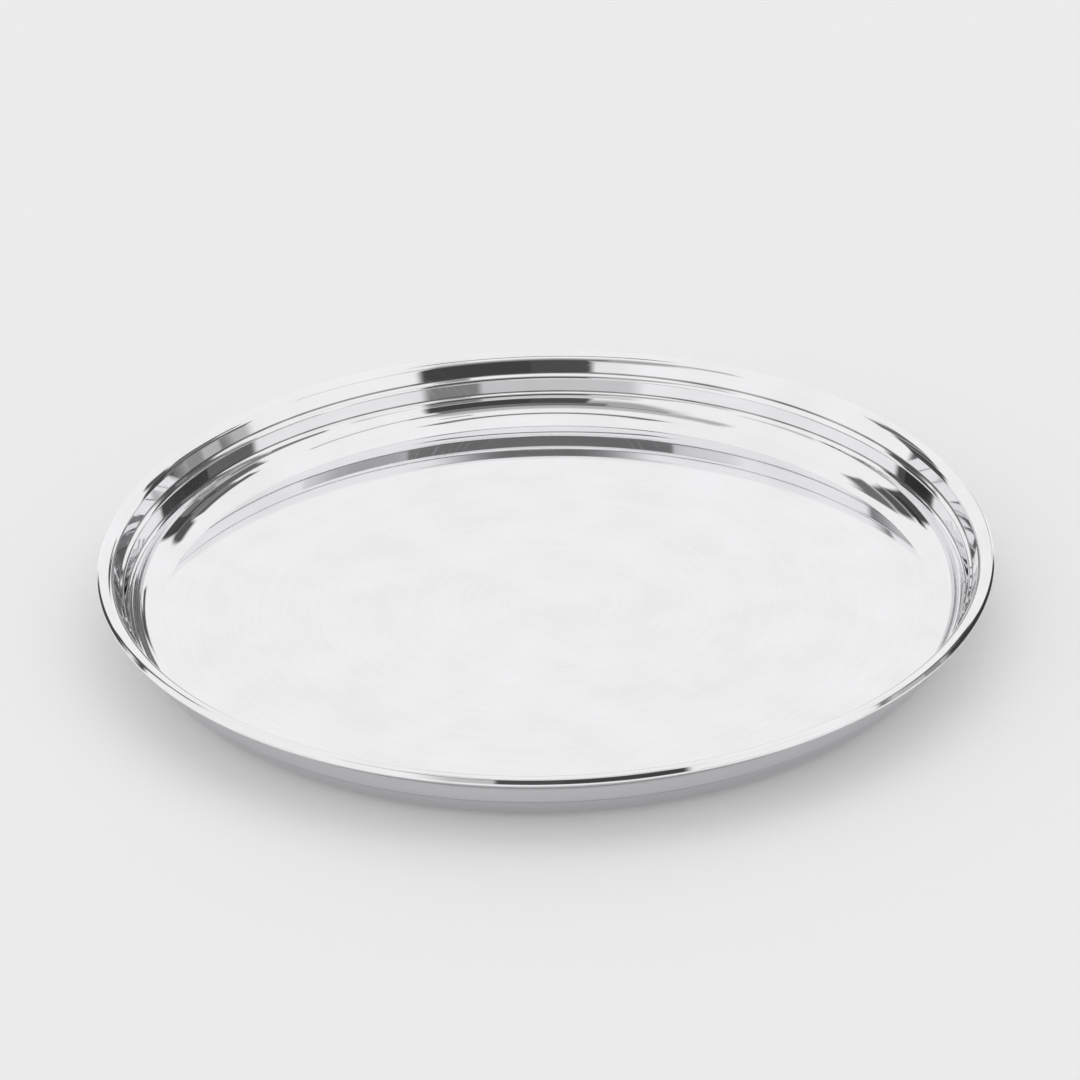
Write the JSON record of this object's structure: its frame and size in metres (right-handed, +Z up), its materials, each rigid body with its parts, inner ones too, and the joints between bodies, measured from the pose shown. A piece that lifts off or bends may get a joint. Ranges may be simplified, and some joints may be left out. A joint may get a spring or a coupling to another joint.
{
  "type": "thali plate",
  "caption": "Round pressed steel dinner plate with a flat floor, a stepped upright wall and a rolled rim.",
  "frame": {"origin": "centre of the flat underside, on the surface that the plate stands on", "axes": "+Z up along the plate's centre line; X and Y lie in the table's plane and are interchangeable"},
  "size_m": [0.28, 0.28, 0.0212],
  "materials": {
    "polished_steel": "mirror-polished stainless steel sheet"
  },
  "bodies": {
    "root": {"plate": "polished_steel"}
  },
  "joints": []
}
